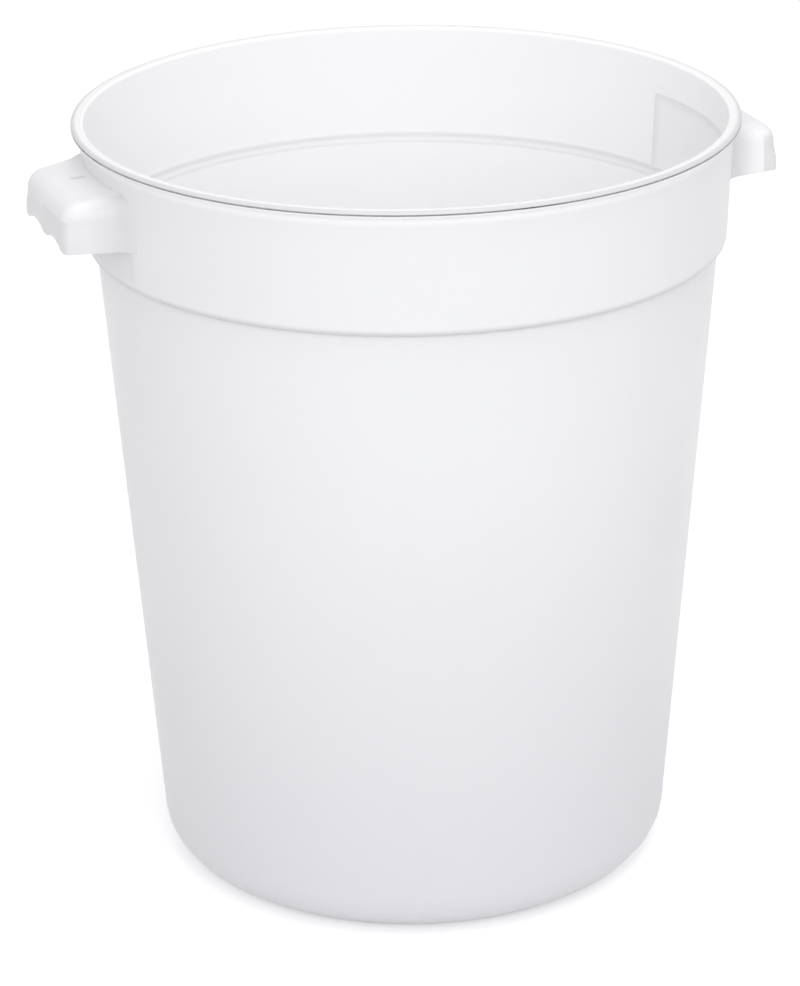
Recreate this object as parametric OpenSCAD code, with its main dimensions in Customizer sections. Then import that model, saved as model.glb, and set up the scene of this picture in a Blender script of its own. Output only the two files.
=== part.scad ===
// Round dough proofing tub with a stepped collar and two moulded handles.
// The real tub is one moulding. Each module below is one moulded feature, and they meet face to face.
// Millimetres, +Z up. The origin is the centre of the base, on the surface the tub stands on.
// The handles lie along X.

/* [Tub] */
// Height from the foot ring to the top of the rim
overall_h = 381; // [340:1:420]
// Thickness of the side wall and of the collar, measured across
wall_t = 2.6; // [2:0.1:3.6]
// Outer diameter of the side wall, carried down to the base plane
body_base_d = 252.4; // [220:0.2:270]
// Outer diameter of the side wall just under the shoulder
body_top_d = 301.6; // [290:0.2:304]
// Height of the underside of the shoulder
shoulder_z = 320; // [290:0.5:325]

/* [Base] */
// Thickness of the floor and of the foot ring
base_t = 3; // [2.4:0.1:4]
// Outer radius of the rounded base corner
corner_r = 22; // [16:0.5:30]
// Inner radius of the rounded base corner
corner_inner_r = 19; // [14:0.5:28]
// Width of the flat foot ring
foot_w = 9; // [6:0.5:14]
// Height that the floor is raised inside the foot ring
floor_rise = 2; // [1:0.1:2.4]

/* [Collar] */
// Outer diameter of the collar at the shoulder
collar_bottom_d = 309.2; // [308.6:0.2:312]
// Outer diameter of the collar under the rim
collar_top_d = 314; // [312:0.2:317]
// Thickness of the shoulder ledge
ledge_t = 2.8; // [2.2:0.1:4]
// Radius of the shoulder's lower outer edge
ledge_edge_r = 2.6; // [1:0.1:3]

/* [Rim] */
// Outer diameter of the rim
rim_d = 321.2; // [319:0.2:325]
// Height of the rim bead
rim_h = 3.6; // [3:0.1:6]
// Radius of the rim's outer edges
rim_edge_r = 1.4; // [0.4:0.1:1.5]

/* [Handles] */
// Width over both handles
handle_span = 361; // [352:1:368]
// Length of a handle along its outer face
grip_l = 73; // [64:1:80]
// Length of a handle where it meets the collar
root_l = 83; // [80:1:92]
// Drop from the rim's top to the handle's top at the collar
handle_drop = 15; // [12:0.5:20]
// Drop of the handle's top between the collar and the outer face
handle_slope = 3; // [0:0.5:5]
// Height of the outer face
grip_h = 22; // [20:0.5:28]
// Wall thickness of the handles
handle_t = 2.6; // [2:0.1:3.4]
// Radius of the rolled edge round the handle's top
roll_r = 8; // [5:0.5:9]
// Radius of the handle's upright corners, past the wall thickness
corner_play = 0.8; // [0.4:0.1:2]

/* [Finger arches] */
// Width of one finger arch
arch_w = 25; // [16:0.5:28]
// Depth of one finger arch
arch_d = 2.8; // [1:0.1:4]
// Width of the land between the two arches
arch_land = 7; // [4:0.5:12]

/* [Hidden] */
$fn = 96;

// Colours of the milky plastic, as it shows on each feature
wall_colour = [0.93, 0.93, 0.95];
edge_colour = [0.89, 0.89, 0.91];
grip_colour = [0.95, 0.95, 0.96];

// A margin for cuts that run past a surface
past = 1;

// Slope of the side wall, as radius gained per height
body_taper = (body_top_d - body_base_d) / 2 / shoulder_z;
body_angle = atan(body_taper);
// Side wall and collar stand at a slight angle, so their level thickness is a little more than wall_t
level_wall = wall_t / cos(body_angle);

function body_r(z) = body_base_d / 2 + body_taper * z;

collar_top_z = overall_h - rim_h;
collar_taper = (collar_top_d - collar_bottom_d) / 2 / (collar_top_z - shoulder_z);

function collar_r(z) = collar_bottom_d / 2 + collar_taper * (z - shoulder_z);

ledge_top_z = shoulder_z + ledge_t;
// Height where the shoulder's rounded lower edge gives way to the straight collar
collar_low_z = shoulder_z + ledge_edge_r;

// Centres of the base corner's outer and inner rounds, tangent to the floor and to the wall
corner_x = body_r(corner_r) - corner_r / cos(body_angle);
corner_inner_z = base_t + corner_inner_r;
corner_inner_x = body_r(corner_inner_z) - level_wall - corner_inner_r / cos(body_angle);
// Height where the base corner gives way to the straight side wall
corner_top_z = max(corner_r * (1 - sin(body_angle)), corner_inner_z - corner_inner_r * sin(body_angle));
foot_inner_r = corner_x - foot_w;

// Handle form, in the half of the part where X is positive
grip_x = handle_span / 2;
grip_half = grip_l / 2;
root_half = root_l / 2;
root_top_z = overall_h - handle_drop;
grip_top_z = root_top_z - handle_slope;
grip_bottom_z = grip_top_z - grip_h;
// The handle's form starts inside the collar, and the collar's own round trims it
root_x = sqrt(pow(collar_r(grip_bottom_z), 2) - pow(root_half, 2)) - past;
// Below this height the handle's walls are plain plates
roll_z = grip_top_z - roll_r;
upright_r = handle_t + corner_play;
grip_inner_x = grip_x - handle_t;

// Half section of the tub as if it were solid, from the base plane to the rim
module outer_half_section() {
    polygon([
        [0, 0],
        [corner_x, 0],
        [corner_x + corner_r * cos(body_angle), corner_r * (1 - sin(body_angle))],
        [body_r(shoulder_z), shoulder_z],
        [0, shoulder_z]
    ]);
    translate([corner_x, corner_r]) circle(corner_r);
    collar_outer_section();
}

// Collar, shoulder and rim of that section, with the shoulder's lower edge rounded
module collar_outer_section() {
    edge_x = collar_r(collar_low_z) - ledge_edge_r;
    polygon([
        [0, shoulder_z],
        [edge_x, shoulder_z],
        [collar_r(collar_low_z), collar_low_z],
        [collar_r(collar_top_z), collar_top_z],
        [0, collar_top_z]
    ]);
    translate([edge_x, collar_low_z]) circle(ledge_edge_r);
    rim_section();
}

// Rim bead with rounded outer edges
module rim_section() {
    translate([0, collar_top_z]) square([rim_d / 2 - rim_edge_r, rim_h]);
    translate([0, collar_top_z + rim_edge_r]) square([rim_d / 2, rim_h - 2 * rim_edge_r]);
    for (z = [collar_top_z + rim_edge_r, overall_h - rim_edge_r])
        translate([rim_d / 2 - rim_edge_r, z]) circle(rim_edge_r);
}

// Half section of the space inside the tub, open at the top
module inner_half_section() {
    polygon([
        [0, base_t],
        [corner_inner_x, base_t],
        [corner_inner_x + corner_inner_r * cos(body_angle),
            corner_inner_z - corner_inner_r * sin(body_angle)],
        [body_r(ledge_top_z) - level_wall, ledge_top_z],
        [0, ledge_top_z]
    ]);
    translate([corner_inner_x, corner_inner_z]) circle(corner_inner_r);
    polygon([
        [0, ledge_top_z],
        [collar_r(ledge_top_z) - level_wall, ledge_top_z],
        [collar_r(overall_h + past) - level_wall, overall_h + past],
        [0, overall_h + past]
    ]);
}

// One band of the tub's wall, turned from the half section between two radii and two heights
module wall_band(low_z, high_z, from_r = 0) {
    rotate_extrude()
        intersection() {
            difference() {
                outer_half_section();
                inner_half_section();
            }
            translate([from_r, low_z]) square([rim_d, high_z - low_z]);
        }
}

module base_floor() {
    color(wall_colour)
        translate([0, 0, floor_rise]) cylinder(r = foot_inner_r, h = base_t);
}

module foot_ring() {
    color(edge_colour)
        difference() {
            cylinder(r = corner_x, h = base_t);
            translate([0, 0, -past]) cylinder(r = foot_inner_r, h = base_t + 2 * past);
        }
}

module base_corner() {
    color(wall_colour) wall_band(0, corner_top_z, corner_x);
}

module side_wall() {
    color(wall_colour) wall_band(corner_top_z, shoulder_z);
}

module shoulder_ledge() {
    color(edge_colour) wall_band(shoulder_z, ledge_top_z);
}

module collar_wall() {
    color(wall_colour) wall_band(ledge_top_z, collar_top_z);
}

module rim_bead() {
    color(edge_colour) wall_band(collar_top_z, overall_h);
}

// The handle's form, grown inwards by inset: four round corners at the top and four at the bottom
module handle_form(inset, bottom_z) {
    hull() {
        for (side = [-1, 1]) {
            translate([grip_x - roll_r, side * (grip_half - roll_r), roll_z])
                sphere(roll_r - inset, $fn = 32);
            translate([root_x, side * (root_half - roll_r), root_top_z - roll_r])
                sphere(roll_r - inset, $fn = 32);
            translate([grip_x - upright_r, side * (grip_half - upright_r), bottom_z])
                cylinder(r = upright_r - inset, h = past, $fn = 32);
            translate([root_x, side * (root_half - upright_r), bottom_z])
                cylinder(r = upright_r - inset, h = past, $fn = 32);
        }
    }
}

// Space that the collar's outer surface takes
module collar_core() {
    translate([0, 0, collar_low_z])
        cylinder(r1 = collar_r(collar_low_z), r2 = collar_r(collar_top_z), h = collar_top_z - collar_low_z);
}

// Hollow handle, open below, between two heights and two distances from the axis
module handle_shell(low_z, high_z, near_x, far_x) {
    intersection() {
        difference() {
            handle_form(0, grip_bottom_z);
            handle_form(handle_t, grip_bottom_z - 2 * past);
            collar_core();
        }
        translate([near_x, -root_l, low_z]) cube([far_x - near_x, 2 * root_l, high_z - low_z]);
    }
}

module finger_arches() {
    arch_r = (pow(arch_w / 2, 2) + pow(arch_d, 2)) / 2 / arch_d;
    for (side = [-1, 1])
        translate([grip_x - 2 * handle_t, side * (arch_land + arch_w) / 2, grip_bottom_z + arch_d - arch_r])
            rotate([0, 90, 0]) cylinder(r = arch_r, h = 3 * handle_t);
}

module handle_top() {
    color(grip_colour) handle_shell(roll_z, root_top_z + past, 0, handle_span);
}

module grip_wall() {
    color(grip_colour)
        difference() {
            handle_shell(grip_bottom_z, roll_z, grip_inner_x, handle_span);
            finger_arches();
        }
}

// One end wall: side is -1 for the front and 1 for the rear
module end_wall(side) {
    color(grip_colour)
        intersection() {
            handle_shell(grip_bottom_z, roll_z, 0, grip_inner_x);
            translate([0, side > 0 ? 0 : -root_l, 0]) cube([handle_span, root_l, overall_h]);
        }
}

module right_handle_top() { handle_top(); }
module right_grip_wall() { grip_wall(); }
module right_front_end_wall() { end_wall(-1); }
module right_rear_end_wall() { end_wall(1); }
module left_handle_top() { mirror([1, 0, 0]) handle_top(); }
module left_grip_wall() { mirror([1, 0, 0]) grip_wall(); }
module left_front_end_wall() { mirror([1, 0, 0]) end_wall(-1); }
module left_rear_end_wall() { mirror([1, 0, 0]) end_wall(1); }

base_floor();
foot_ring();
base_corner();
side_wall();
shoulder_ledge();
collar_wall();
rim_bead();
left_handle_top();
left_grip_wall();
left_front_end_wall();
left_rear_end_wall();
right_handle_top();
right_grip_wall();
right_front_end_wall();
right_rear_end_wall();
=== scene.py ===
# Dough proofing tub: one milky plastic moulding with a stepped collar, a rim bead and two hollow handles.
# Metres, +Z up. The origin is the centre of the base, and the handles lie along X.
import math

import bmesh
import bpy
from mathutils import Matrix, Vector


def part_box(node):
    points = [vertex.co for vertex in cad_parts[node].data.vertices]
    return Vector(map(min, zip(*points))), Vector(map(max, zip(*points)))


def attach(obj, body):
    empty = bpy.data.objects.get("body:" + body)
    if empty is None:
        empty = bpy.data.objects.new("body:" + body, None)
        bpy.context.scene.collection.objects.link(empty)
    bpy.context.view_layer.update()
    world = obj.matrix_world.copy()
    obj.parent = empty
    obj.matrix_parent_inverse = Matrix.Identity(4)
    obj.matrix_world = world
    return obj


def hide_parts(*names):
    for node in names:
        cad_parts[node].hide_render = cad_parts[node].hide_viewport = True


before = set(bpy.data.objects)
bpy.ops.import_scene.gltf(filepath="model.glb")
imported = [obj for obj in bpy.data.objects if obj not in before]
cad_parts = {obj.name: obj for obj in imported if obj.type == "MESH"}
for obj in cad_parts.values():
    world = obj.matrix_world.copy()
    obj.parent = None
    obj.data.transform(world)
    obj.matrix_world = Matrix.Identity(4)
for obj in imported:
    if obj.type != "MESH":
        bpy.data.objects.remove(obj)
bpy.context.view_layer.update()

TUB_NODES = (
    "base_floor", "foot_ring", "base_corner", "side_wall", "shoulder_ledge", "collar_wall", "rim_bead",
)
HANDLE_NODES = ("handle_top", "grip_wall", "front_end_wall", "rear_end_wall")

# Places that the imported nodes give
FLOOR_LOW, FLOOR_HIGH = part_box("base_floor")
RING_LOW, RING_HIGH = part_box("foot_ring")
LEDGE_LOW, LEDGE_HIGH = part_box("shoulder_ledge")
RIM_LOW, RIM_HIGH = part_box("rim_bead")
CORNER_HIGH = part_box("base_corner")[1]
WALL_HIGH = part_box("side_wall")[1]
COLLAR_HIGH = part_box("collar_wall")[1]
PLATE_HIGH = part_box("right_handle_top")[1]
GRIP_LOW, GRIP_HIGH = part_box("right_grip_wall")

# Wall, rounds and collar of the moulding
WALL_T = 0.0026
CORNER_R = 0.022
CORNER_INNER_R = 0.019
LEDGE_EDGE_R = 0.0026
RIM_EDGE_R = 0.0014
SOFT_EDGE_R = 0.0007
BEAD_FILLET_R = 0.0024
# Height that the bead's underside gains on its way out
BEAD_SLOPE = 0.0014
# Outer radius of the collar at the shoulder
COLLAR_LOW_R = 0.1546

# Slopes, as radius gained per height
WALL_SLOPE = (WALL_HIGH.x - CORNER_HIGH.x) / (WALL_HIGH.z - CORNER_HIGH.z)
COLLAR_SLOPE = (COLLAR_HIGH.x - COLLAR_LOW_R) / (COLLAR_HIGH.z - LEDGE_LOW.z)

# Fineness of the turned shell, and the distance of the points that hold its flat stretches flat
SPIN_STEPS = 224
ROUND_STEPS = 6
SUPPORT = 0.0006
# Points that are closer than this are merged
SAME_POINT = 1e-5

# Outline of a handle, seen from above
GRIP_X = PLATE_HIGH.x
GRIP_HALF = GRIP_HIGH.y
ROOT_HALF = PLATE_HIGH.y
UPRIGHT_R = 0.0034
SHARPEST_R = 0.0002
# The end walls spread by this much where they meet the collar, over this reach
FLARE = 0.0040
FLARE_REACH = 0.0100
# The handle's edge lies this deep in the collar's skin
ROOT_BITE = 0.0002

# Section of a handle
PLATE_TOP = 0.3660
PLATE_DROP = 0.0030
GRIP_BOTTOM = GRIP_LOW.z
ROLL_R = 0.0080
PLATE_FILLET = 0.0012
LIP_SOFTNESS = 0.0005
LIP_ANGLE = math.radians(50)
ARCH_W = 0.0250
ARCH_D = 0.0028
ARCH_LAND = 0.0070

# A handle's grid: columns run round its outline, and rows from the lower edge up over the roll
HANDLE_COLUMNS = 120
HANDLE_ROWS = 36
SAME_GRID_POINT = 2e-5
# Each half of the outline ends its end wall and its upright edge at these shares of its columns
END_WALL_SHARE = 0.40
TURN_SHARE = 0.60
# Columns crowd towards the collar by this power
END_CROWDING = 1.5
# The walls and the roll end at these shares of the rows
WALL_SHARE = 0.42
ROLL_SHARE = 0.72
# The upright edges start to widen into the roll at this share of the walls
UPRIGHT_SHARE = 0.35

# Colours of the milky plastic, lightest first: painted light, its own clear and clouded tones, then painted
# shades
# Painted light: the inner skin, the collar under the bead and the right handle's end walls
MILK_PAINTED_LIGHT = (0.960, 0.958, 0.970, 1.0)
# The plastic's own clear and clouded tones
MILK_LIGHT = (0.880, 0.882, 0.895, 1.0)
MILK_CLOUD = (0.868, 0.870, 0.890, 1.0)
# Painted shades
MILK_SHADE = (0.800, 0.798, 0.815, 1.0)
MILK_FACE_SHADE = (0.780, 0.777, 0.795, 1.0)
MILK_LOW_SHADE = (0.775, 0.772, 0.800, 1.0)
MILK_ROOT_SHADE = (0.735, 0.732, 0.750, 1.0)
MILK_BEAD_SHADE = (0.725, 0.722, 0.745, 1.0)
MILK_STEP_SHADE = (0.670, 0.668, 0.690, 1.0)
MILK_SLOT_SHADOW = (0.640, 0.635, 0.650, 1.0)
# Painted glow on the inner skin, for the light that the wall lets through
LIGHT_PASSED = (0.053, 0.052, 0.055, 1.0)
NO_LIGHT = (0.0, 0.0, 0.0, 1.0)
# Clouding in the plastic and the fine grain of its skin
TUB_CLOUD_SCALE = 11.0
HANDLE_CLOUD_SCALE = 30.0
CLOUD_RANGE = (0.3, 0.7)
GRAIN_SCALE = 900.0
GRAIN_DEPTH = 0.0004
# Roughness where the plastic is clear and where it is clouded
ROUGHNESS_RANGE = (0.34, 0.42)

# Camera of the photograph, in the tub's frame
CAMERA_PLACE = Vector((-0.5815, -1.6226, 0.8796))
CAMERA_AHEAD = Vector((0.3101, 0.8736, -0.3746))
CAMERA_ROLL = -0.013
SENSOR = 36.0
FOCAL_PIXELS = 3719.9
PHOTO_HEIGHT = 986

# Soft lamps: name, place, size and power. Both point at the middle of the tub
LAMP_TARGET = (0.0, 0.0, 0.2)
LAMPS = (
    ("overhead_softbox", (0.1, -0.3, 2.2), 1.6, 11.0),
    ("front_softbox", (-0.8, -2.6, 1.5), 1.6, 24.0),
)
STUDIO_LIGHT = 0.66
FLOOR_R = 9.0
FLOOR_COLOUR = (0.86, 0.86, 0.87, 1.0)
FLOOR_GLOW = 0.38


def wall_r(z):
    """Outer radius of the side wall at a height."""
    return WALL_HIGH.x + WALL_SLOPE * (z - WALL_HIGH.z)


def collar_r(z):
    """Outer radius of the collar at a height."""
    return COLLAR_LOW_R + COLLAR_SLOPE * (z - LEDGE_LOW.z)


def smooth_rise(low, high, value):
    """0 below low, 1 above high and a smooth rise between."""
    share = min(max((value - low) / (high - low), 0.0), 1.0)
    return share * share * (3.0 - 2.0 * share)


# Painted shade and light on the tub: a pair says where a tone starts and where it is full
# Painted shade, darker towards the bottom
LOW_HEIGHTS = (0.30, 0.0)
# Painted shade on the bead's front
BEAD_HEIGHTS = (RIM_LOW.z + 0.0010, RIM_LOW.z + 0.0022)
BEAD_RADII = (RIM_HIGH.x - 0.0030, RIM_HIGH.x - 0.0010)
# Painted light under the bead, against the shade of its overhang
UNDER_BEAD_HEIGHTS = (RIM_LOW.z - 0.0050, RIM_LOW.z - 0.0020)
UNDER_BEAD_RADII = (COLLAR_HIGH.x - 0.0012, COLLAR_HIGH.x - 0.0004)
# Painted shade at the collar's step, where its shadow falls
STEP_HEIGHTS = (LEDGE_HIGH.z + 0.0012, LEDGE_LOW.z + 0.0010)
STEP_RADII = (wall_r(LEDGE_LOW.z) + 0.0004, wall_r(LEDGE_LOW.z) + 0.0016)
# The inner skin, which is painted lighter
INSIDE_HEIGHTS = (CORNER_R - 0.002, CORNER_R + 0.006)
INSIDE_DEPTHS = (-0.0004, 0.0004)
COLLAR_HEIGHTS = (LEDGE_HIGH.z - 0.0004, LEDGE_HIGH.z)
# The painted shade line where the ledge meets the inner skin: its height, how far off it starts and is full,
# and its strength
LEDGE_LINE_HEIGHT = LEDGE_HIGH.z + 0.0004
LEDGE_LINE_OFFS = (0.0032, 0.0008)
LEDGE_LINE_STRENGTH = 0.9
# Painted shade of the handle, where its outline shows through the collar: depths are measured in from that
# outline
HIDDEN_TOP = 0.3635
HIDDEN_CORNER_R = 0.004
HIDDEN_EDGE_DEPTHS = (-0.0004, 0.0006)
HIDDEN_FADE_DEPTHS = (0.0070, 0.0004)
HIDDEN_FADE_RANGE = (0.28, 1.0)
HIDDEN_HEIGHTS = (LEDGE_HIGH.z, LEDGE_HIGH.z + 0.004)
HIDDEN_SHADE_STRENGTH = 0.65

# Painted shade and light on the handles: places along X, distances off the middle plane, heights and radii
LEFT_PLACES = (0.0, -0.1)
RIGHT_PLACES = (0.0, 0.1)
# Painted shade on the left handle's end walls and painted light on the right one's
END_WALL_OFFS = (0.0330, 0.0368)
LEFT_END_SHADE_STRENGTH = 0.9
# Painted shade on a band at the right handle's outer end
RIGHT_BAND_PLACES = (0.1719, 0.1729)
RIGHT_BAND_HEIGHTS = (0.3605, 0.3575)
RIGHT_BAND_SHADE_STRENGTH = 0.95
# Painted shade where the end walls meet the collar
ROOT_RADII = (0.1750, 0.1600)
ROOT_OFFS = (0.0300, 0.0370)
ROOT_SHADE_STRENGTH = 0.9
# Painted shade on the outer wall below its roll: crisp at its upper edge on the front half, soft on the rear
# half
FACE_PLACES = (GRIP_X - 0.0040, GRIP_X - 0.0012)
FRONT_HALF = (0.0030, -0.0020)
CRISP_HEIGHTS = (0.3564, 0.3556)
SOFT_HEIGHTS = (0.3600, 0.3500)
SOFT_RANGE = (0.0, 0.8)
FACE_SHADE_STRENGTH = 0.85
# Painted shadow of a small slot in the left handle's top, which is turned a little from X
MARK_X = -0.1625
MARK_Y = 0.0040
MARK_TURN = 0.35
MARK_HALF_LENGTHS = (0.0036, 0.0028)
MARK_HALF_WIDTHS = (0.0024, 0.0014)
SLOT_SHADOW_STRENGTH = 0.6


# Shapes of the tub and its handles


def rounded_outline(corners):
    """Points of an outline whose corners (r, z, radius) are rounded, with support points past each round."""
    points = []
    last = len(corners) - 1
    for index, (r, z, radius) in enumerate(corners):
        here = Vector((r, z))
        if radius == 0.0 or index in (0, last):
            points.append(here)
            continue
        before = Vector(corners[index - 1][:2]) - here
        after = Vector(corners[index + 1][:2]) - here
        half = before.angle(after) / 2
        reach = radius / math.tan(half)
        start = here + before.normalized() * reach
        end = here + after.normalized() * reach
        middle = (before.normalized() + after.normalized()).normalized()
        centre = here + middle * radius / math.sin(half)
        if before.length > reach + 2 * SUPPORT:
            points.append(here + before.normalized() * (reach + SUPPORT))
        for step in range(ROUND_STEPS + 1):
            way = (start - centre).lerp(end - centre, step / ROUND_STEPS)
            points.append(centre + way.normalized() * radius)
        if after.length > reach + 2 * SUPPORT:
            points.append(here + after.normalized() * (reach + SUPPORT))
    return points


def tub_section():
    """Corners (r, z, radius) of the tub's half section: out under the floor, up, over the rim and back."""
    inner_foot = FLOOR_HIGH.x
    level_wall = WALL_T / math.cos(math.atan(WALL_SLOPE))
    return [
        (0.0, FLOOR_LOW.z, 0.0),
        (inner_foot, FLOOR_LOW.z, SOFT_EDGE_R),
        (inner_foot, RING_LOW.z, SOFT_EDGE_R),
        (wall_r(0.0), RING_LOW.z, CORNER_R),
        (wall_r(LEDGE_LOW.z), LEDGE_LOW.z, SOFT_EDGE_R),
        (collar_r(LEDGE_LOW.z), LEDGE_LOW.z, LEDGE_EDGE_R),
        (collar_r(RIM_LOW.z), RIM_LOW.z - BEAD_SLOPE / 2, BEAD_FILLET_R),
        (RIM_HIGH.x, RIM_LOW.z + BEAD_SLOPE / 2, RIM_EDGE_R),
        (RIM_HIGH.x, RIM_HIGH.z, RIM_EDGE_R),
        (collar_r(RIM_HIGH.z) - level_wall, RIM_HIGH.z, RIM_EDGE_R),
        (collar_r(LEDGE_HIGH.z) - level_wall, LEDGE_HIGH.z, SOFT_EDGE_R),
        (wall_r(LEDGE_HIGH.z) - level_wall, LEDGE_HIGH.z, RIM_EDGE_R),
        (wall_r(RING_HIGH.z) - level_wall, RING_HIGH.z, CORNER_INNER_R),
        (inner_foot, RING_HIGH.z, SOFT_EDGE_R),
        (inner_foot, FLOOR_HIGH.z, SOFT_EDGE_R),
        (0.0, FLOOR_HIGH.z, 0.0),
    ]


def finish_mesh(name, bm):
    """A smooth object at the origin from a bmesh."""
    mesh = bpy.data.meshes.new(name)
    bm.to_mesh(mesh)
    bm.free()
    mesh.shade_smooth()
    piece = bpy.data.objects.new(name, mesh)
    bpy.context.scene.collection.objects.link(piece)
    return piece


def make_tub():
    """The tub without its handles, spun from its half section."""
    bm = bmesh.new()
    verts = [bm.verts.new((point.x, 0.0, point.y)) for point in rounded_outline(tub_section())]
    edges = [bm.edges.new(pair) for pair in zip(verts, verts[1:])]
    bmesh.ops.spin(
        bm, geom=verts + edges, cent=(0, 0, 0), axis=(0, 0, 1), angle=math.tau,
        steps=SPIN_STEPS, use_merge=True,
    )
    bmesh.ops.remove_doubles(bm, verts=bm.verts, dist=SAME_POINT)
    bmesh.ops.recalc_face_normals(bm, faces=bm.faces)
    return finish_mesh("tub_shell", bm)


def grip_outline(share, inset, corner, root_r):
    """A point (x, y) on the handle's outline, seen from above, from its front root to its rear root."""
    side = -1.0 if share < 0.5 else 1.0
    way = min(share, 1.0 - share) * 2.0
    radius = max(corner - inset, SHARPEST_R)
    outer_x = GRIP_X - inset
    outer_y = GRIP_HALF - inset
    if way < END_WALL_SHARE:
        near = (way / END_WALL_SHARE) ** END_CROWDING
        widening = ROOT_HALF - GRIP_HALF
        start_x = math.sqrt(root_r ** 2 - (outer_y + widening + FLARE) ** 2)
        x = start_x + (outer_x - radius - start_x) * near
        flare = FLARE * (1.0 - smooth_rise(0.0, FLARE_REACH, x - start_x)) ** 2
        y = outer_y + widening * (1.0 - near) + flare
    elif way < TURN_SHARE:
        angle = (way - END_WALL_SHARE) / (TURN_SHARE - END_WALL_SHARE) * math.pi / 2
        x = outer_x - radius + radius * math.sin(angle)
        y = outer_y - radius + radius * math.cos(angle)
    else:
        x = outer_x
        y = (outer_y - radius) * (1.0 - way) / (1.0 - TURN_SHARE)
    return x, side * y


def plate_height(x):
    """Height of the handle's top plate, which slopes down from the collar."""
    share = (x - COLLAR_LOW_R) / (GRIP_X - COLLAR_LOW_R)
    return PLATE_TOP - PLATE_DROP * min(max(share, 0.0), 1.0)


def arch_height(x, y):
    """How far the two finger arches lift the lower edge of the outer wall."""
    if x < GRIP_X - ROLL_R:
        return 0.0
    off = min(abs(abs(y) - (ARCH_LAND + ARCH_W) / 2) / (ARCH_W / 2), 1.0)
    return ARCH_D * (1.0 - off * off)


def wall_point(along, rise):
    """A point of the handle's upright walls: rise runs from the lower edge to the roll."""
    corner = UPRIGHT_R + (ROLL_R - UPRIGHT_R) * smooth_rise(UPRIGHT_SHARE, 1.0, rise)
    wall_top = PLATE_TOP - ROLL_R
    root_r = collar_r(GRIP_BOTTOM + (wall_top - GRIP_BOTTOM) * rise) - ROOT_BITE
    x, y = grip_outline(along, 0.0, corner, root_r)
    low = GRIP_BOTTOM + arch_height(x, y)
    return Vector((x, y, low + (plate_height(x) - ROLL_R - low) * rise))


def roll_point(along, angle):
    """A point of the rolled edge round the handle's top."""
    root_r = collar_r(PLATE_TOP - ROLL_R + ROLL_R * math.sin(angle)) - ROOT_BITE
    x, y = grip_outline(along, ROLL_R * (1.0 - math.cos(angle)), ROLL_R, root_r)
    return Vector((x, y, plate_height(x) - ROLL_R * (1.0 - math.sin(angle))))


def plate_point(along, share):
    """A point of the top plate: share runs from the roll to the collar, where the plate turns up."""
    root_r = collar_r(PLATE_TOP) - ROOT_BITE
    x, y = grip_outline(along, ROLL_R, ROLL_R, root_r)
    root_y = (2.0 * along - 1.0) * (ROOT_HALF - ROLL_R + FLARE)
    root_x = math.sqrt(root_r ** 2 - root_y ** 2)
    x += (root_x - x) * share
    y += (root_y - y) * share
    lift = 1.0 - smooth_rise(0.0, FLARE_REACH / 2, math.hypot(x, y) - root_r)
    return Vector((x, y, plate_height(x) + PLATE_FILLET * lift ** 2 * share))


def handle_point(along, up):
    """A point of the handle's outer skin: up runs from the lower edge, over the roll, to the collar."""
    if up <= WALL_SHARE:
        return wall_point(along, up / WALL_SHARE)
    if up <= ROLL_SHARE:
        return roll_point(along, (up - WALL_SHARE) / (ROLL_SHARE - WALL_SHARE) * math.pi / 2)
    return plate_point(along, (up - ROLL_SHARE) / (1.0 - ROLL_SHARE))


def make_handle(name, side):
    """One hollow handle, open below, as a skin that gets its wall from a modifier."""
    bm = bmesh.new()
    bmesh.ops.create_grid(bm, x_segments=HANDLE_COLUMNS, y_segments=HANDLE_ROWS, size=0.5)
    # The grid runs from -0.5 to 0.5, and the handle's shares from 0 to 1
    for vert in bm.verts:
        vert.co = handle_point(vert.co.x + 0.5, vert.co.y + 0.5)
    bmesh.ops.remove_doubles(bm, verts=bm.verts, dist=SAME_GRID_POINT)
    if side < 0:
        bmesh.ops.scale(bm, vec=(-1, 1, 1), verts=bm.verts)
    bmesh.ops.recalc_face_normals(bm, faces=bm.faces)
    top = max(bm.faces, key=lambda face: face.calc_center_median().z)
    if top.normal.z < 0:
        bmesh.ops.reverse_faces(bm, faces=bm.faces)
    piece = finish_mesh(name, bm)
    wall = piece.modifiers.new("wall", "SOLIDIFY")
    wall.thickness = WALL_T
    wall.offset = -1.0
    soft = piece.modifiers.new("soft_edges", "BEVEL")
    soft.width = LIP_SOFTNESS
    soft.segments = 2
    soft.limit_method = "ANGLE"
    soft.angle_limit = LIP_ANGLE
    return piece


# Nodes that the materials are built from


def feed(tree, socket, value):
    """Links a socket to an input, or sets the input to a number or colour."""
    if isinstance(value, bpy.types.NodeSocket):
        tree.links.new(value, socket)
    else:
        socket.default_value = value


def math_node(tree, operation, *values):
    """A Math node whose inputs are sockets or numbers; gives its output socket."""
    node = tree.nodes.new("ShaderNodeMath")
    node.operation = operation
    for socket, value in zip(node.inputs, values):
        feed(tree, socket, value)
    return node.outputs[0]


def product(tree, first, *others):
    """Masks and numbers multiplied together."""
    result = first
    for other in others:
        result = math_node(tree, "MULTIPLY", result, other)
    return result


def ramp(tree, value, places, results=(0.0, 1.0)):
    """A smooth change from the first result to the second, as a value goes from one place to the other."""
    node = tree.nodes.new("ShaderNodeMapRange")
    node.interpolation_type = "SMOOTHSTEP"
    feed(tree, node.inputs["Value"], value)
    feed(tree, node.inputs["From Min"], places[0])
    feed(tree, node.inputs["From Max"], places[1])
    feed(tree, node.inputs["To Min"], results[0])
    feed(tree, node.inputs["To Max"], results[1])
    return node.outputs["Result"]


def mix_numbers(tree, amount, first, second):
    """A number Mix node; gives its output socket."""
    node = tree.nodes.new("ShaderNodeMix")
    for index, value in ((0, amount), (2, first), (3, second)):
        feed(tree, node.inputs[index], value)
    return node.outputs[0]


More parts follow.
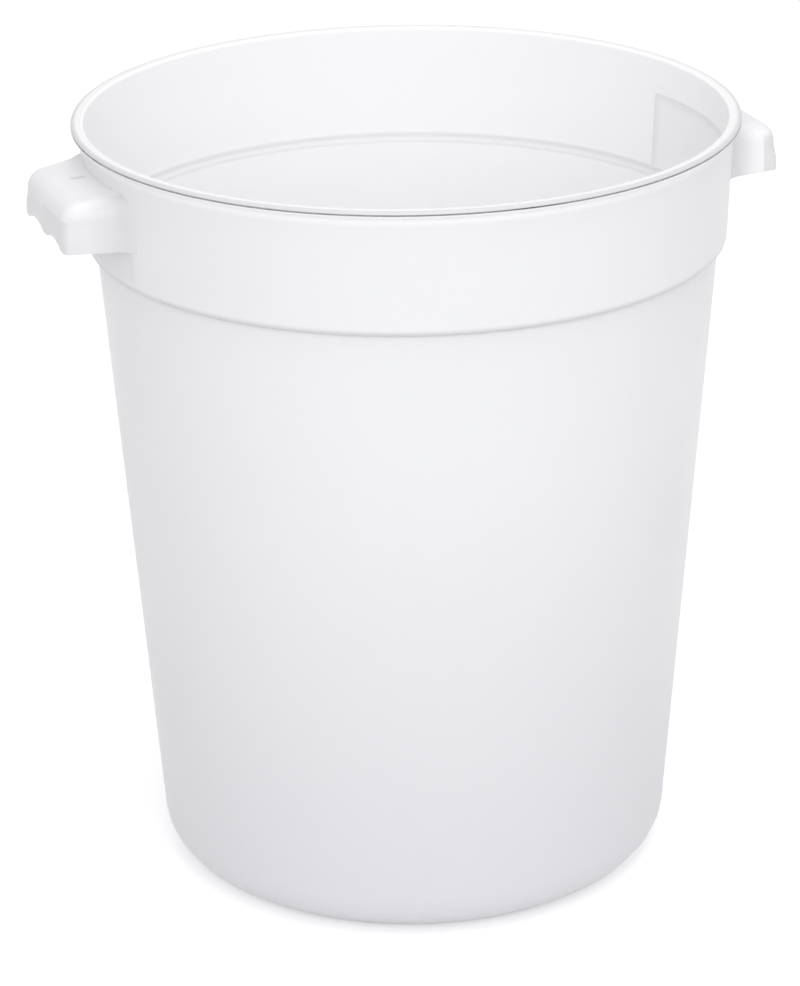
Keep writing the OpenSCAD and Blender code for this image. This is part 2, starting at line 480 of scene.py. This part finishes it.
def mix_colours(tree, amount, first, second):
    """A colour Mix node; gives its output socket."""
    node = tree.nodes.new("ShaderNodeMix")
    node.data_type = "RGBA"
    for index, value in ((0, amount), (6, first), (7, second)):
        feed(tree, node.inputs[index], value)
    return node.outputs[2]


def make_milk_group():
    """Clouding and fine skin texture of moulded milky plastic."""
    tree = bpy.data.node_groups.new("milky_plastic_skin", "ShaderNodeTree")
    tree.interface.new_socket("Place", in_out="INPUT", socket_type="NodeSocketVector")
    tree.interface.new_socket("Cloud Scale", in_out="INPUT", socket_type="NodeSocketFloat")
    tree.interface.new_socket("Clouding", in_out="OUTPUT", socket_type="NodeSocketFloat")
    tree.interface.new_socket("Skin Height", in_out="OUTPUT", socket_type="NodeSocketFloat")
    entry = tree.nodes.new("NodeGroupInput")
    leave = tree.nodes.new("NodeGroupOutput")
    cloud = tree.nodes.new("ShaderNodeTexNoise")
    feed(tree, cloud.inputs["Vector"], entry.outputs["Place"])
    feed(tree, cloud.inputs["Scale"], entry.outputs["Cloud Scale"])
    feed(tree, cloud.inputs["Detail"], 3.0)
    grain = tree.nodes.new("ShaderNodeTexNoise")
    feed(tree, grain.inputs["Vector"], entry.outputs["Place"])
    feed(tree, grain.inputs["Scale"], GRAIN_SCALE)
    feed(tree, grain.inputs["Detail"], 2.0)
    feed(tree, leave.inputs["Clouding"], ramp(tree, cloud.outputs["Fac"], CLOUD_RANGE))
    feed(tree, leave.inputs["Skin Height"], grain.outputs["Fac"])
    return tree


def make_place_group():
    """Where a point lies: along X, sideways (Y), its height, and how far off the middle line and plane."""
    tree = bpy.data.node_groups.new("place_on_tub", "ShaderNodeTree")
    tree.interface.new_socket("Place", in_out="INPUT", socket_type="NodeSocketVector")
    for name in ("Along", "Sideways", "Height", "Radius", "Off Middle"):
        tree.interface.new_socket(name, in_out="OUTPUT", socket_type="NodeSocketFloat")
    entry = tree.nodes.new("NodeGroupInput")
    leave = tree.nodes.new("NodeGroupOutput")
    split = tree.nodes.new("ShaderNodeSeparateXYZ")
    feed(tree, split.inputs[0], entry.outputs["Place"])
    level = tree.nodes.new("ShaderNodeCombineXYZ")
    feed(tree, level.inputs["X"], split.outputs["X"])
    feed(tree, level.inputs["Y"], split.outputs["Y"])
    length = tree.nodes.new("ShaderNodeVectorMath")
    length.operation = "LENGTH"
    feed(tree, length.inputs[0], level.outputs[0])
    feed(tree, leave.inputs["Along"], split.outputs["X"])
    feed(tree, leave.inputs["Sideways"], split.outputs["Y"])
    feed(tree, leave.inputs["Height"], split.outputs["Z"])
    feed(tree, leave.inputs["Radius"], length.outputs["Value"])
    feed(tree, leave.inputs["Off Middle"], math_node(tree, "ABSOLUTE", split.outputs["Y"]))
    return tree


def start_plastic(name, milk_group, place_group, cloud_scale):
    """A milky material; gives it, its clouded colour and the outputs that say where a point lies."""
    material = bpy.data.materials.new(name)
    material.use_nodes = True
    tree = material.node_tree
    point = tree.nodes.new("ShaderNodeTexCoord").outputs["Object"]
    place = tree.nodes.new("ShaderNodeGroup")
    place.node_tree = place_group
    feed(tree, place.inputs["Place"], point)
    skin = tree.nodes.new("ShaderNodeGroup")
    skin.node_tree = milk_group
    feed(tree, skin.inputs["Place"], point)
    feed(tree, skin.inputs["Cloud Scale"], cloud_scale)
    bump = tree.nodes.new("ShaderNodeBump")
    feed(tree, bump.inputs["Strength"], 0.06)
    feed(tree, bump.inputs["Distance"], GRAIN_DEPTH)
    feed(tree, bump.inputs["Height"], skin.outputs["Skin Height"])
    shader = tree.nodes["Principled BSDF"]
    feed(tree, shader.inputs["Subsurface Weight"], 0.25)
    feed(tree, shader.inputs["Subsurface Radius"], (1.0, 1.0, 1.05))
    feed(tree, shader.inputs["Subsurface Scale"], 0.0010)
    feed(tree, shader.inputs["IOR"], 1.49)
    feed(tree, shader.inputs["Specular IOR Level"], 0.35)
    feed(tree, shader.inputs["Roughness"], ramp(tree, skin.outputs["Clouding"], (0.0, 1.0), ROUGHNESS_RANGE))
    feed(tree, shader.inputs["Normal"], bump.outputs["Normal"])
    colour = mix_colours(tree, skin.outputs["Clouding"], MILK_LIGHT, MILK_CLOUD)
    return material, colour, place.outputs


def blend_tones(tree, colour, *masked_tones):
    """Lays tones over a colour, one after the other, each by its own mask."""
    for mask, tone in masked_tones:
        colour = mix_colours(tree, mask, colour, tone)
    return colour


def inner_skin_mask(tree, place):
    """1 on the tub's inner skin and 0 on its outer skin, by the line midway in the wall."""
    wall_line = math_node(tree, "MULTIPLY_ADD", place["Height"], WALL_SLOPE, wall_r(0.0) - WALL_T / 2)
    collar_line = math_node(tree, "MULTIPLY_ADD", place["Height"], COLLAR_SLOPE, collar_r(0.0) - WALL_T / 2)
    on_collar = ramp(tree, place["Height"], COLLAR_HEIGHTS)
    middle = mix_numbers(tree, on_collar, wall_line, collar_line)
    depth = math_node(tree, "SUBTRACT", middle, place["Radius"])
    return product(tree, ramp(tree, depth, INSIDE_DEPTHS), ramp(tree, place["Height"], INSIDE_HEIGHTS))


def ledge_shade_line_mask(tree, place, inner):
    """The painted shade line where the ledge meets the inner skin."""
    off_line = math_node(tree, "SUBTRACT", place["Height"], LEDGE_LINE_HEIGHT)
    off_ledge = math_node(tree, "ABSOLUTE", off_line)
    return product(tree, ramp(tree, off_ledge, LEDGE_LINE_OFFS), inner, LEDGE_LINE_STRENGTH)


def hidden_handle_shade_mask(tree, place):
    """Painted shade of the handle where its outline shows through the collar: dark at its edge, fading
    inwards.
    """
    from_end = math_node(tree, "SUBTRACT", ROOT_HALF, place["Off Middle"])
    from_top = math_node(tree, "SUBTRACT", HIDDEN_TOP, place["Height"])
    depth = math_node(tree, "SMOOTH_MIN", from_end, from_top, HIDDEN_CORNER_R)
    return product(
        tree,
        ramp(tree, depth, HIDDEN_FADE_DEPTHS, HIDDEN_FADE_RANGE),
        ramp(tree, depth, HIDDEN_EDGE_DEPTHS),
        ramp(tree, place["Height"], HIDDEN_HEIGHTS),
        HIDDEN_SHADE_STRENGTH,
    )


def make_tub_material(milk_group, place_group):
    """Milky wall: painted shade low down, on the bead, at the step and where the handles show through;
    painted light under the bead, and painted light and glow inside.
    """
    material, colour, place = start_plastic("milky_tub_wall", milk_group, place_group, TUB_CLOUD_SCALE)
    tree = material.node_tree
    height = place["Height"]
    radius = place["Radius"]
    # Painted shade, darker towards the bottom
    low_shade = ramp(tree, height, LOW_HEIGHTS)
    # Painted light under the bead, against the shade of its overhang
    under_bead_light = product(tree, ramp(tree, height, UNDER_BEAD_HEIGHTS), ramp(tree, radius, UNDER_BEAD_RADII))
    # Painted shade on the bead's front
    bead = product(tree, ramp(tree, height, BEAD_HEIGHTS), ramp(tree, radius, BEAD_RADII))
    # Painted shade at the collar's step, where its shadow falls
    step = product(tree, ramp(tree, height, STEP_HEIGHTS), ramp(tree, radius, STEP_RADII))
    # The inner skin is painted lighter
    inner = inner_skin_mask(tree, place)
    colour = blend_tones(
        tree, colour, (low_shade, MILK_LOW_SHADE), (under_bead_light, MILK_PAINTED_LIGHT), (bead, MILK_BEAD_SHADE),
        (step, MILK_STEP_SHADE), (inner, MILK_PAINTED_LIGHT),
    )
    ledge_shade_line = ledge_shade_line_mask(tree, place, inner)
    shade_lines = math_node(tree, "MAXIMUM", hidden_handle_shade_mask(tree, place), ledge_shade_line)
    colour = mix_colours(tree, shade_lines, colour, MILK_SHADE)
    # Painted glow on the inner skin, taken away where the painted shade lies
    painted_glow = mix_colours(tree, inner, NO_LIGHT, LIGHT_PASSED)
    painted_glow = mix_colours(tree, shade_lines, painted_glow, NO_LIGHT)
    shader = tree.nodes["Principled BSDF"]
    feed(tree, shader.inputs["Base Color"], colour)
    feed(tree, shader.inputs["Emission Color"], painted_glow)
    feed(tree, shader.inputs["Emission Strength"], 1.0)
    return material


def outer_face_shade_mask(tree, place):
    """Painted shade on the outer wall below its roll: a crisp crease on the front half, a soft change on the
    rear half.
    """
    reach = math_node(tree, "ABSOLUTE", place["Along"])
    in_front = ramp(tree, place["Sideways"], FRONT_HALF)
    soft_edge = ramp(tree, place["Height"], SOFT_HEIGHTS, SOFT_RANGE)
    crisp_edge = ramp(tree, place["Height"], CRISP_HEIGHTS)
    below = mix_numbers(tree, in_front, soft_edge, crisp_edge)
    return product(tree, ramp(tree, reach, FACE_PLACES), below, FACE_SHADE_STRENGTH)


def slot_shadow_mask(tree, place):
    """Painted shadow of a short slot in the left handle's top."""
    along = math_node(tree, "ABSOLUTE", math_node(tree, "SUBTRACT", place["Along"], MARK_X))
    line = math_node(tree, "MULTIPLY_ADD", place["Along"], MARK_TURN, -MARK_TURN * MARK_X - MARK_Y)
    aside = math_node(tree, "ABSOLUTE", math_node(tree, "ADD", place["Sideways"], line))
    length_mask = ramp(tree, along, MARK_HALF_LENGTHS)
    return product(tree, length_mask, ramp(tree, aside, MARK_HALF_WIDTHS), SLOT_SHADOW_STRENGTH)


def make_handle_material(milk_group, place_group):
    """Milky handles: painted shade on the outer walls, roots, left end walls and a small slot, and painted
    light on the right end walls.
    """
    material, colour, place = start_plastic("milky_handle", milk_group, place_group, HANDLE_CLOUD_SCALE)
    tree = material.node_tree
    along = place["Along"]
    off_middle = place["Off Middle"]
    end_wall = ramp(tree, off_middle, END_WALL_OFFS)
    # Painted shade on the left handle's end walls and painted light on the right one's, for how the light
    # falls
    left_end_shade = product(tree, end_wall, ramp(tree, along, LEFT_PLACES), LEFT_END_SHADE_STRENGTH)
    right_end_light = product(tree, end_wall, ramp(tree, along, RIGHT_PLACES))
    # Painted shade on a band at the right handle's outer end
    below_roll = ramp(tree, place["Height"], RIGHT_BAND_HEIGHTS)
    right_band_shade = product(tree, ramp(tree, along, RIGHT_BAND_PLACES), below_roll, RIGHT_BAND_SHADE_STRENGTH)
    # Painted shade where the end walls meet the collar
    near_collar = ramp(tree, place["Radius"], ROOT_RADII)
    root = product(tree, near_collar, ramp(tree, off_middle, ROOT_OFFS), ROOT_SHADE_STRENGTH)
    colour = blend_tones(
        tree, colour, (left_end_shade, MILK_SHADE), (right_end_light, MILK_PAINTED_LIGHT), (right_band_shade, MILK_FACE_SHADE),
        (root, MILK_ROOT_SHADE), (outer_face_shade_mask(tree, place), MILK_FACE_SHADE),
        (slot_shadow_mask(tree, place), MILK_SLOT_SHADOW),
    )
    feed(tree, tree.nodes["Principled BSDF"].inputs["Base Color"], colour)
    return material


def dress(piece, material, nodes):
    """Gives a piece its material, hides the imported nodes that it stands for, and attaches it to what it
    moves with.
    """
    piece.data.materials.append(material)
    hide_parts(*nodes)
    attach(piece, "root")


# Stage, light and camera


def give_light_and_view(tree, light, view, output):
    """One shader for light on its way, and another for what the camera sees, straight or in a gloss."""
    path = tree.nodes.new("ShaderNodeLightPath")
    seen = math_node(tree, "MAXIMUM", path.outputs["Is Camera Ray"], path.outputs["Is Glossy Ray"])
    choose = tree.nodes.new("ShaderNodeMixShader")
    feed(tree, choose.inputs[0], seen)
    feed(tree, choose.inputs[1], light)
    feed(tree, choose.inputs[2], view)
    feed(tree, output.inputs["Surface"], choose.outputs[0])


def make_stage():
    """A pale floor that keeps the tub's soft shadow and shows white around it."""
    bm = bmesh.new()
    bmesh.ops.create_circle(bm, cap_ends=True, segments=96, radius=FLOOR_R)
    mesh = bpy.data.meshes.new("stage_floor")
    bm.to_mesh(mesh)
    bm.free()
    floor = bpy.data.objects.new("stage_floor", mesh)
    bpy.context.scene.collection.objects.link(floor)
    material = bpy.data.materials.new("stage_paper")
    material.use_nodes = True
    tree = material.node_tree
    paper = tree.nodes["Principled BSDF"]
    feed(tree, paper.inputs["Base Color"], FLOOR_COLOUR)
    feed(tree, paper.inputs["Roughness"], 0.9)
    feed(tree, paper.inputs["Specular IOR Level"], 0.0)
    glow = tree.nodes.new("ShaderNodeEmission")
    feed(tree, glow.inputs["Strength"], FLOOR_GLOW)
    both = tree.nodes.new("ShaderNodeAddShader")
    feed(tree, both.inputs[0], paper.outputs[0])
    feed(tree, both.inputs[1], glow.outputs[0])
    give_light_and_view(tree, paper.outputs[0], both.outputs[0], tree.nodes["Material Output"])
    mesh.materials.append(material)


def make_world():
    """Even studio light, and white behind the tub for the camera."""
    world = bpy.data.worlds.new("studio")
    bpy.context.scene.world = world
    world.use_nodes = True
    tree = world.node_tree
    light = tree.nodes["Background"]
    feed(tree, light.inputs["Color"], (1.0, 1.0, 1.0, 1.0))
    feed(tree, light.inputs["Strength"], STUDIO_LIGHT)
    white = tree.nodes.new("ShaderNodeBackground")
    feed(tree, white.inputs["Strength"], 1.0)
    give_light_and_view(tree, light.outputs[0], white.outputs[0], tree.nodes["World Output"])


def make_lamp(name, place, size, power):
    """One square soft lamp that points at the tub."""
    lamp = bpy.data.lights.new(name, "AREA")
    lamp.shape = "SQUARE"
    lamp.size = size
    lamp.energy = power
    holder = bpy.data.objects.new(name, lamp)
    holder.location = place
    ahead = Vector(LAMP_TARGET) - Vector(place)
    holder.rotation_euler = ahead.to_track_quat("-Z", "Y").to_euler()
    bpy.context.scene.collection.objects.link(holder)


def make_camera():
    """The photograph's camera."""
    data = bpy.data.cameras.new("photo_camera")
    data.sensor_fit = "VERTICAL"
    data.sensor_height = SENSOR
    data.lens = FOCAL_PIXELS / PHOTO_HEIGHT * SENSOR
    data.clip_start = 0.05
    data.clip_end = 50.0
    camera = bpy.data.objects.new("photo_camera", data)
    ahead = CAMERA_AHEAD.normalized()
    level = ahead.cross(Vector((0, 0, 1))).normalized()
    down = ahead.cross(level)
    right = math.cos(CAMERA_ROLL) * level - math.sin(CAMERA_ROLL) * down
    up = -(math.sin(CAMERA_ROLL) * level + math.cos(CAMERA_ROLL) * down)
    turn = Matrix((right, up, -ahead)).transposed().to_4x4()
    camera.matrix_world = Matrix.Translation(CAMERA_PLACE) @ turn
    bpy.context.scene.collection.objects.link(camera)
    bpy.context.scene.camera = camera


make_camera()
make_stage()
make_world()
for lamp_name, lamp_place, lamp_size, lamp_power in LAMPS:
    make_lamp(lamp_name, lamp_place, lamp_size, lamp_power)
bpy.context.scene.view_settings.view_transform = "Standard"

milk = make_milk_group()
places = make_place_group()
dress(make_tub(), make_tub_material(milk, places), TUB_NODES)
handle_material = make_handle_material(milk, places)
for side_name, side_sign in (("left", -1), ("right", 1)):
    handle = make_handle(side_name + "_handle", side_sign)
    dress(handle, handle_material, [side_name + "_" + part for part in HANDLE_NODES])
